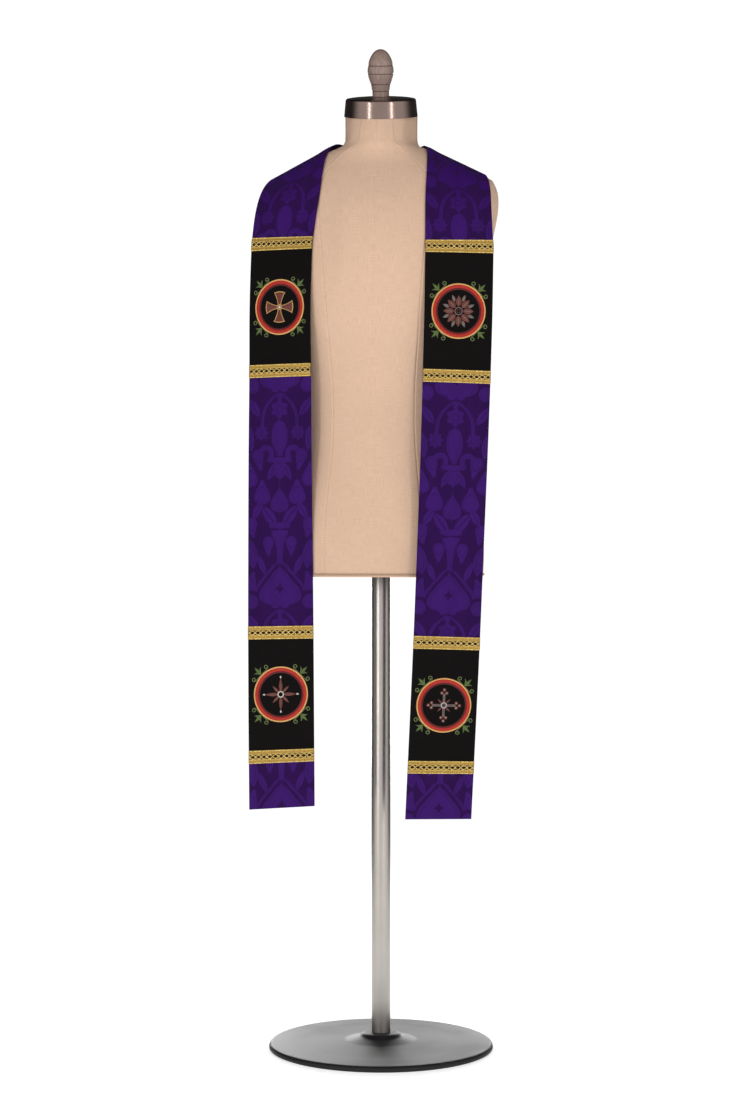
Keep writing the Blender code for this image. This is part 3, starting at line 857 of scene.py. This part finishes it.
def motif(kind, p, q):
    """Above 0 inside a motif, on its own axes that run from -1 to 1."""
    if kind == "leaf":
        return (1 - q * q - abs(p)).least(abs(p) - 0.20)
    if kind == "petal":
        return 1 - q * q - abs(p)
    if kind == "drop":
        tail = (1 + q).most(0.0)
        return tail * tail * tail * (1 - q) * 0.6 - p * p - (-0.8 - q).most(0.0)
    if kind == "curl":
        return (0.26 - abs((p * p + q * q).root() - 0.74)).least(0.25 - q)
    return 1 - p * p - q * q


def damask_figure(finish):
    """1 where the damask's figure is woven and 0 on its ground, mirrored about the strip's middle."""
    out, down = finish.stretched(finish.grain(), (1000.0, 1000.0, 0.0)).parts()
    out = abs(out)
    level = down.wrapped(0.0, REPEAT)
    inside = outline_curve(finish, level, AXIS_OUTLINE) - out
    heart = (abs(inside - 3.4) - 0.8).most(284.0 - level)
    shape = inside.least(heart)
    for kind, x, y, turn, half_width, half_length in MOTIFS:
        near = finish.node("CombineXYZ", {}, {0: out, 1: (down - y).wrapped(-REPEAT / 2, REPEAT / 2)})
        turned_by = (0, 0, math.radians(turn))
        p, q = finish.moved(near, (x, 0, 0), turned_by, (half_width, half_length, 1)).parts()
        shape = shape.most(motif(kind, p, q) * (half_width * 0.6))
    for x, y, radius, count in ROSETTES:
        spread, round_it = petals(out - x, down, y, count)
        part = (0.84 + round_it * 0.14 - spread / radius).least(abs(spread / radius - 0.36) - 0.07)
        shape = shape.most(part * radius)
    for top, bottom, points in ARCHES:
        apart = out - outline_curve(finish, level, points)
        lines = (0.9 - abs(apart)).most(0.6 - abs(apart - 3.2))
        shape = shape.most(lines.least(level - top).least(bottom - level))
    shape = shape.least(abs(shape - INCISED_AT) - INCISED)
    y, radius = QUATREFOIL
    spread, round_it = petals(out, down, y, 4)
    shape = shape.least(spread - (0.75 + round_it * 0.25) * radius)
    return (shape + SPREAD).eased(-0.55, 0.55)


def damask(name, figure_dye, ground_dye, gloss):
    """The damask's face or its reverse. Satin floats run down the figure, and across the ground."""
    finish = Finish(name, {"Sheen Weight": 0.02, "Sheen Roughness": 0.35, "Specular IOR Level": 0.12})
    figure = damask_figure(finish)
    cut = finish.grain()
    across, along = cut.parts()
    streaks = finish.noise(cut, (2200, 90, 1))
    # Painted shade: broad soft patches, placed at random, darken the purple towards (20, 3, 36) to stand in
    # for the soft shading of the drape.
    painted_drape_shade = finish.noise(cut, (26, 9, 1))
    colour = finish.mix(figure, ground_dye, figure_dye)
    colour = finish.mix(0.10 + streaks * 0.16, colour, (22, 3, 40))
    finish.dyed(painted_drape_shade.eased(0.35, 0.75) * 0.18, colour, (20, 3, 36))
    finish.shaded(Roughness=(0.66 - figure * gloss) + streaks * 0.08)
    lengthwise = (across * (FULL_TURN / 0.00055)).sine()
    crosswise = (along * (FULL_TURN / 0.00055)).sine()
    threads = figure * lengthwise + (1 - figure) * crosswise
    return finish.raised(threads * 0.4 + streaks + figure * 0.8, 0.00022)


face = damask("purple damask", (65, 19, 120), (50, 11, 86), 0.18)
reverse = damask("purple damask reverse", (56, 18, 96), (68, 24, 116), 0.05)

for strip in STRIPS:
    cuts = (
        ("yoke", 0.0, strip.seams[0], 110),
        ("middle", strip.seams[1], strip.seams[2], 110),
        ("end", strip.seams[3], strip.hem, 30),
    )
    for part, start, end, rows in cuts:
        first = start + (GAP / 2 if start else 0.0)
        final = end - (GAP / 2 if end < strip.hem else 0.0)
        work = cloth(strip, first, final, rows, part == "end")
        piece = made(f"{strip.name}_{part}_damask", work, [face, reverse], 60)
        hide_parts(f"{strip.name}_{part}")
        if part == "yoke":
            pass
        else:
            strip.width((start + end) / 2)


# Black panels: two on each strip, of matt black cloth, joined to the damask under the galloons. Each
# carries an embroidered roundel.

black = Finish("black cloth", {"Sheen Weight": 0.008, "Sheen Roughness": 0.4, "Specular IOR Level": 0.10})
cut = black.grain()
across, along = cut.parts()
twill = ((across + along) * (FULL_TURN / 0.0007)).sine()
yarn = black.noise(cut, (1400, 300, 1))
worn = black.noise(cut, (30, 22, 1), 3.0)
soot = black.mix(yarn, (7, 5, 5), (14, 12, 11))
black.dyed(worn.eased(0.5, 0.8) * 0.4, soot, (19, 16, 15))
black.shaded(Roughness=0.62 + yarn * 0.14)
black.raised(twill * 0.4 + yarn, 0.00018)

for strip in STRIPS:
    for part, start, end in (("upper", *strip.seams[0:2]), ("lower", *strip.seams[2:4])):
        work = cloth(strip, start + GAP / 2, end - GAP / 2, 60, False)
        piece = made(f"{strip.name}_{part}_black", work, [black, black], 60)
        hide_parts(f"{strip.name}_{part}_panel")


# Galloons: gold braid 21.5 mm wide, one over each join. Two woven borders hold a row of black ovals that
# two gold cords cross between, and small stitches of gold thread fasten both edges.

GALLOON = 0.0215
RIBBON = 0.0008
BORDER_FROM = 0.0046
EDGE_CORD = 0.0010
BORDER_CORD = 0.00055
OVAL_PITCH = 0.0096
CROSSING = 0.0032
CROSSING_CORD = (0.00074, 0.0007)
CORD_OVER = 0.00035
BASKET = 0.0012
BASKET_RISE = 0.00045
STITCH_PITCH = 0.0034
SELVEDGE = 0.0004
EDGE_ROW = 0.0003
ROWS_TO = 0.0098
STITCH_INSET = 0.0001

# Half the length, half the width and the rise
OVAL_SIZE = (0.0031, 0.0020, 0.0009)
BEAD_SIZE = (0.0011, 0.0007, 0.0006)
STITCH_SIZE = (0.0008, 0.0003, 0.0005)

gold_finishes = []
# Each gold finish mixes a dark and a light dye. The spots of the light dye are painted glints of the metal
# threads, the dark ground between them painted shade, and the cord's light dye is a highlight colour.
for name, dark, light, metal, rough in (
    ("gold ribbon", (58, 35, 6), (218, 178, 84), 0.60, 0.34),
    ("gold cord", (176, 136, 56), (255, 232, 144), 0.50, 0.28),
):
    finish = Finish(name, {"Metallic": metal})
    run, girth = finish.grain().parts()
    thread = (run * 3000.0 + girth * 2600.0).sine() * 0.5 + 0.5
    # Painted glints: noise spots of the light dye on the dark one.
    painted_glints_and_shade = finish.noise(finish.grain(), (620, 620, 1), 3.0, 0.6).eased(0.36, 0.62)
    if name == "gold ribbon":
        # Painted shade: the ribbon darkens in the hollows of its basket weave and along the middle channel
        # round the ovals.
        basket = (run * (math.pi / BASKET)).sine() * ((girth - BORDER_FROM) * (math.pi / BASKET)).sine()
        painted_glints_and_shade = (0.55 * painted_glints_and_shade + 0.45) * abs(basket).eased(0.02, 0.40, 0.25, 1.0)
        painted_glints_and_shade = painted_glints_and_shade * abs(girth).eased(BORDER_FROM - 0.0004, BORDER_FROM + 0.0004, 0.3, 1.0)
    finish.dyed(painted_glints_and_shade, dark, light)
    finish.shaded(Roughness=rough + thread * 0.12)
    gold_finishes.append(finish.raised(thread, 0.00016))

jet = Finish("black floss", {"Specular IOR Level": 0.2})
run, girth = jet.grain().parts()
floss = (girth * 5200.0).sine() * 0.5 + 0.5
jet.dyed(floss, (16, 5, 2), (36, 16, 7))
jet.shaded(Roughness=0.5 + floss * 0.2)
jet.raised(floss, 0.0001)


def oval(work, x, y, z, half_length, half_width, rise, finish):
    """A small padded oval, longer along X."""
    share = np.array((-1.0, -0.8, -0.35, 0.0, 0.35, 0.8, 1.0))
    path = [(x + half_length * s, y, z) for s in share]
    round_off = np.sqrt(np.maximum(1 - share**2, 0.0))
    strand(work, path, half_width * round_off, rise * round_off, finish, 6)


def galloon(width):
    """A galloon laid flat, for a strip of this width."""
    work = bmesh.new()
    half = GALLOON / 2
    top = RIBBON / 2
    columns = np.linspace(-width / 2, width / 2, 180)
    inner_rows = np.linspace(-ROWS_TO, ROWS_TO, 29)
    rows = np.concatenate([[-half, -half + EDGE_ROW], inner_rows, [half - EDGE_ROW, half]])
    for way in (1.0, -1.0):
        points, _ = flat(work, columns, rows)
        x, y = np.abs([point.co[:2] for point in points]).T
        rim = bulge(half - y, SELVEDGE) * bulge(width / 2 - x, SELVEDGE)
        height = way * rim * top
        if way > 0:
            border = eased(y, BORDER_FROM - 0.0003, BORDER_FROM + 0.0003)
            basket = np.sin(math.pi * x / BASKET) * np.sin(math.pi * (y - BORDER_FROM) / BASKET)
            height = height + rim * border * BASKET_RISE * np.abs(basket)
        for point, z in zip(points, height):
            point.co.z = z
    x = np.linspace(-width / 2 + SELVEDGE, width / 2 - SELVEDGE, 150)
    for side in (-1, 1):
        for y, radius in ((half - EDGE_CORD, EDGE_CORD), (BORDER_FROM - 0.0001, BORDER_CORD)):
            path = [(at, side * y, top - 0.0001) for at in x]
            strand(work, path, radius, radius * 0.9, 1, 8)
    count = int(width / OVAL_PITCH)
    centres = (np.arange(count) - (count - 1) / 2) * OVAL_PITCH
    phase = math.pi * (x - centres[0]) / OVAL_PITCH
    for side in (-1, 1):
        y = side * CROSSING * np.cos(phase)
        z = top + 0.0004 + side * CORD_OVER * np.sin(phase)
        strand(work, np.stack([x, y, z], axis=1), *CROSSING_CORD, 1, 6)
    for centre in centres:
        oval(work, centre, 0.0, top, *OVAL_SIZE, 2)
    for crossing in (centres[:-1] + centres[1:]) / 2:
        for y in (-CROSSING, CROSSING):
            oval(work, crossing, y, top, *BEAD_SIZE, 2)
    for stitch in np.arange(-width / 2 + 0.002, width / 2 - 0.002, STITCH_PITCH):
        for y in (-half + STITCH_INSET, half - STITCH_INSET):
            oval(work, stitch, y, top - 0.0003, *STITCH_SIZE, 1)
    return work


for strip in STRIPS:
    for i, seam in enumerate(strip.seams):
        work = strip.lay(galloon(strip.width(seam)), seam, HALF_CLOTH + RIBBON / 2)
        piece = made(f"{strip.name}_braid_{i + 1}", work, [*gold_finishes, jet], 60)
        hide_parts(f"{strip.name}_galloon_{i + 1}")


# Roundels: one on the middle of each black panel, worked in padded satin stitch. A gold line, a red band
# and a dark red line go round an emblem, and a green sprig grows from the ring at each corner.

RING_OUTER = 0.0462
RING_INNER = 0.0355
RING_POINTS = 145
GOLD_LINE = 0.0012
INNER_LINE = 0.0015
THREAD = 0.00042
LEAF_RISE = 0.0007
SPRIG_REACH = 0.0640
SIDE_LEAF_REACH = 0.0572
TENDRIL_AT = 0.0522
TENDRIL_RADIUS = 0.0038

# Each thread's darker and lighter dye. The lighter dye is a highlight colour, so mixing the two paints
# highlight and shade onto the stitches.
THREADS = {
    "gold thread": ((208, 150, 78), (252, 214, 136)),
    "red thread": ((154, 20, 10), (214, 42, 20)),
    "dark red thread": ((70, 6, 7), (108, 12, 12)),
    "green thread": ((46, 66, 30), (98, 124, 56)),
    "pale green thread": ((104, 126, 66), (146, 164, 104)),
    "rust thread": ((84, 38, 32), (132, 66, 52)),
    "grey thread": ((88, 80, 78), (136, 126, 122)),
    "white thread": ((196, 190, 186), (240, 236, 232)),
}


def embroidery(name, dark, light):
    """Satin stitch, whose threads lie side by side across the run of stitches."""
    finish = Finish(name, {"Sheen Weight": 0.12, "Sheen Roughness": 0.3, "Roughness": 0.5})
    run, girth = finish.grain().parts()
    thread = (run * (FULL_TURN / THREAD)).sine() * 0.5 + 0.5
    varied = finish.noise(finish.grain(), (1500, 60, 1), 1.0)
    # The share is partly random yarn tone and partly the thread crests: painted highlight on the crests and
    # painted shade between them.
    share = varied.eased(0.3, 0.7) * 0.6 + thread * 0.4
    finish.dyed(share, dark, light)
    return finish.raised(thread, 0.00014)


floss = [embroidery(name, *shades) for name, shades in THREADS.items()]
GOLD, RED, DARK_RED, GREEN, PALE_GREEN, RUST, GREY, WHITE = range(len(THREADS))


def arc(radius, start, end, count, x=0.0, y=0.0):
    turn = np.radians(np.linspace(start, end, count))
    return np.stack([x + radius * np.cos(turn), y + radius * np.sin(turn), 0 * turn], axis=1)


def line(start, end, count=12, sag=0.0):
    """A path from start to end, bowed to one side by this much."""
    start, end = np.array(start, float), np.array(end, float)
    t = np.linspace(0, 1, count)[:, None]
    bow = np.array((end[1] - start[1], start[0] - end[0])) * 4 * sag
    flat_path = start + t * (end - start) + bow * t * (1 - t)
    return np.concatenate([flat_path, 0 * t], axis=1)


def leaf(work, start, end, half_width, finish, sag=0.0, rise=LEAF_RISE):
    """A leaf or petal, pointed at both ends and widest nearer its root."""
    t = np.linspace(0, 1, 14)
    wide = half_width * np.sin(math.pi * t**0.8)
    strand(work, line(start, end, 14, sag), wide, rise * np.sin(math.pi * t) ** 0.5, finish)


def polar(radius, degrees):
    return radius * math.cos(math.radians(degrees)), radius * math.sin(math.radians(degrees))


def ray(work, turn, inner, outer, half_width, finish, rise=LEAF_RISE):
    """A leaf or petal that points straight out from the middle."""
    leaf(work, polar(inner, turn), polar(outer, turn), half_width, finish, rise=rise)


def hoop(work, radius, count, half_width, rise, finish, sides=8, x=0.0, y=0.0):
    """A closed round of stitches."""
    strand(work, arc(radius, 0, 360, count, x, y), half_width, rise, finish, sides, closed=True)


def ring(work):
    half = (RING_OUTER - 2 * GOLD_LINE - RING_INNER - 2 * INNER_LINE) / 2
    middle = RING_INNER + 2 * INNER_LINE + half
    hoop(work, RING_OUTER - GOLD_LINE, RING_POINTS, GOLD_LINE, 0.0010, GOLD, 10)
    hoop(work, middle, RING_POINTS, half + 0.0002, 0.0009, RED, 12)
    hoop(work, RING_INNER + INNER_LINE, RING_POINTS, INNER_LINE, 0.0006, DARK_RED)


def tendril(work, root, x, y, start, way):
    """A curl that winds in about this middle, on a stem from its root."""
    t = np.linspace(0, 1, 18)
    turn = np.radians(start + way * 400 * t)
    radius = TENDRIL_RADIUS * (1 - 0.62 * t)
    curl = np.stack([x + radius * np.cos(turn), y + radius * np.sin(turn), 0 * t], axis=1)
    path = np.concatenate([line(root, curl[0, :2], 6)[:-1], curl])
    strand(work, path, 0.00052, 0.0006, PALE_GREEN, 6)


def sprigs(work):
    for corner in (45, 135, 225, 315):
        root = polar(RING_OUTER + 0.0004, corner)
        leaf(work, root, polar(SPRIG_REACH, corner), 0.0026, GREEN)
        ray(work, corner, RING_OUTER + 0.003, SPRIG_REACH - 0.0024, 0.0006, PALE_GREEN, 0.0012)
        for way in (-1, 1):
            tip = polar(SIDE_LEAF_REACH, corner + way * 9)
            leaf(work, root, tip, 0.0017, GREEN, sag=way * 0.16)
            leaf(work, root, tip, 0.0005, PALE_GREEN, sag=way * 0.10, rise=0.0011)
            x, y = polar(TENDRIL_AT, corner + way * 16)
            tendril(work, root, x, y, corner + way * 167, -way)


def spreading_cross(work):
    """Four arms that widen outwards, edged in gold."""
    for turn in (0, 90, 180, 270):
        t = np.linspace(0, 1, 16)
        path = line(polar(0.0022, turn), polar(0.0250, turn), 16)
        wide = 0.0024 + 0.0082 * t**1.8
        strand(work, path, wide, 0.0009, RUST, 10)
        for way in (-1, 1):
            edge = []
            for out, beside in zip(0.0022 + 0.0228 * t, wide):
                at = turn + way * math.degrees(math.atan2(beside, out))
                edge.append((*polar(math.hypot(out, beside), at), 0.0002))
            strand(work, edge, 0.0005, 0.0007, GOLD, 6)
        end = math.degrees(math.atan2(wide[-1], 0.0250))
        strand(work, arc(0.0252, turn - end, turn + end, 12), 0.0007, 0.0010, GOLD, 6)
    hoop(work, 0.0042, 40, 0.0007, 0.0012, GOLD)
    oval(work, 0.0, 0.0, 0.0002, 0.0026, 0.0026, 0.0012, WHITE)


def rosette(work):
    """Two rounds of petals in rust and grey about a small ring."""
    for turn in range(0, 360, 45):
        ray(work, turn, 0.0075, 0.0262, 0.0052, RUST)
        ray(work, turn, 0.0090, 0.0238, 0.0011, GREY, 0.0012)
        ray(work, turn + 22.5, 0.0170, 0.0292, 0.0026, GREY)
    hoop(work, 0.0060, 48, 0.0009, 0.0009, GREY)
    for turn in range(0, 360, 60):
        x, y = polar(0.0028, turn)
        oval(work, x, y, 0.0, 0.0011, 0.0011, 0.0008, RUST)


def star(work):
    """Eight rays, the long ones tipped in white."""
    for turn in range(0, 360, 45):
        long_ray = turn % 90 == 0
        tip = 0.0272 if long_ray else 0.0200
        ray(work, turn, 0.0030, tip, 0.0030 if long_ray else 0.0024, RUST)
        ray(work, turn, 0.0050, tip * 0.9, 0.0006, GREY, 0.0012)
        if long_ray:
            ray(work, turn, 0.0262, 0.0312, 0.0014, WHITE)
    hoop(work, 0.0046, 40, 0.0010, 0.0012, WHITE)


def budded_cross(work):
    """A cross whose arms end in three round buds."""
    for turn in (0, 90, 180, 270):
        strand(work, line(polar(0.0008, turn), polar(0.0205, turn), 12), 0.0021, 0.0009, GREY, 8)
        ray(work, turn, 0.0030, 0.0195, 0.0007, RUST, 0.0013)
        for radius, side in ((0.0262, 0), (0.0212, 11), (0.0212, -11)):
            x, y = polar(radius, turn + side)
            hoop(work, 0.0021, 20, 0.0009, 0.0009, RUST, 6, x, y)
            oval(work, x, y, 0.0, 0.0011, 0.0011, 0.0009, WHITE)
        ray(work, turn + 45, 0.0045, 0.0150, 0.0016, RUST)
    hoop(work, 0.0044, 40, 0.0008, 0.0012, WHITE)


EMBLEMS = {
    ("right", "upper"): spreading_cross,
    ("left", "upper"): rosette,
    ("right", "lower"): star,
    ("left", "lower"): budded_cross,
}

for strip in STRIPS:
    for part, first in (("upper", 0), ("lower", 2)):
        work = bmesh.new()
        ring(work)
        sprigs(work)
        EMBLEMS[strip.name, part](work)
        middle = (strip.seams[first] + strip.seams[first + 1]) / 2
        strip.lay(work, middle, HALF_CLOTH)
        piece = made(f"{strip.name}_{part}_embroidery", work, floss, 60)
        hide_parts(f"{strip.name}_{part}_roundel")
        size = (strip.width(middle), strip.seams[first + 1] - strip.seams[first])


# Floor, lights and camera. A pale floor that fades into a white room, lit most from in front, two tall soft
# lights in front and three behind, and a camera at the height of the hip.

FLOOR_RADIUS = 2.6
FLOOR_FADES_FROM = 1.0
CAMERA_TURN = math.radians(8.0)
CAMERA_DISTANCE = 3.8
CAMERA_HEIGHT = 0.845
CAMERA_SHIFT = -0.02465
LENS = 73.15
ROOM_IN_FRONT = 0.95
ROOM_BEHIND = 0.05
ROOM_OVERHEAD = 0.28
ROOM_SEEN = 1.05
ROOM_FACES = (math.sin(math.radians(10.0)), -math.cos(math.radians(10.0)), 0.0)

work = bmesh.new()
bmesh.ops.create_circle(work, cap_ends=True, radius=FLOOR_RADIUS, segments=128)
bmesh.ops.translate(work, verts=work.verts, vec=(0, 0, -0.0005))
glow = {"Roughness": 0.9, "Emission Color": dye(255, 255, 255), "Emission Strength": 0.62}
floor_finish = Finish("pale floor", glow)
across, along = floor_finish.place().parts()
from_pole = (across * across + along * along).root()
floor_finish.shaded(Base_Color=dye(246, 246, 247))
floor_finish.shaded(Alpha=from_pole.eased(FLOOR_FADES_FROM, FLOOR_RADIUS, 1.0, 0.0))
shown("floor", work, [floor_finish])

world = bpy.data.worlds.new("white room")
bpy.context.scene.world = world
room = Graph(world)
direction = room.node("TexCoord", {}, {})
frontal = room.node("VectorMath", {"operation": "DOT_PRODUCT"}, {0: direction, 1: ROOM_FACES}, 1)
upwards = room.node("SeparateXYZ", {}, {0: direction}, 2)
strength = frontal.eased(-0.28, 0.40, ROOM_BEHIND, ROOM_IN_FRONT) * upwards.eased(0.75, 0.25, ROOM_OVERHEAD)
fill = room.node("Background", {}, {"Color": (1.0, 0.95, 0.93, 1.0), "Strength": strength})
seen = room.node("Background", {}, {"Color": (1.0, 1.0, 1.0, 1.0), "Strength": ROOM_SEEN})
camera_ray = room.node("LightPath", {}, {})
seen_or_not = room.node("MixShader", {}, {0: camera_ray, 1: fill, 2: seen})
room.feed(room.nodes["World Output"], {"Surface": seen_or_not})


def softbox(name, turn, distance, height, width, tall, power, aim=1.1):
    """A soft light this many degrees round from the front, aimed at the object."""
    light = bpy.data.lights.new(name, "AREA")
    light.shape = "RECTANGLE"
    light.size, light.size_y = width, tall
    light.energy = power
    lamp = placed(name, light)
    angle = math.radians(turn)
    lamp.location = (distance * math.sin(angle), -distance * math.cos(angle), height)
    away = Vector((0, 0, aim)) - lamp.location
    lamp.rotation_euler = away.to_track_quat("-Z", "Y").to_euler()


softbox("left softbox", -29, 3.2, 1.25, 0.18, 2.2, 16)
softbox("right softbox", 41, 3.2, 1.25, 0.18, 2.2, 14)
softbox("back light", 190, 3.4, 1.3, 1.8, 1.8, 26)
softbox("left back light", -158, 3.2, 1.0, 0.9, 1.6, 40)
softbox("right back light", 172, 3.2, 1.0, 0.9, 1.6, 40)

lens = bpy.data.cameras.new("camera")
lens.sensor_fit = "AUTO"
lens.sensor_width = 36.0
lens.lens = LENS
camera = placed("camera", lens)
across_view = Vector((math.cos(CAMERA_TURN), math.sin(CAMERA_TURN), 0))
towards = Vector((-math.sin(CAMERA_TURN), math.cos(CAMERA_TURN), 0))
camera.location = across_view * CAMERA_SHIFT - towards * CAMERA_DISTANCE
camera.location.z = CAMERA_HEIGHT
camera.rotation_euler = towards.to_track_quat("-Z", "Y").to_euler()
bpy.context.scene.camera = camera
bpy.context.scene.view_settings.view_transform = "Standard"
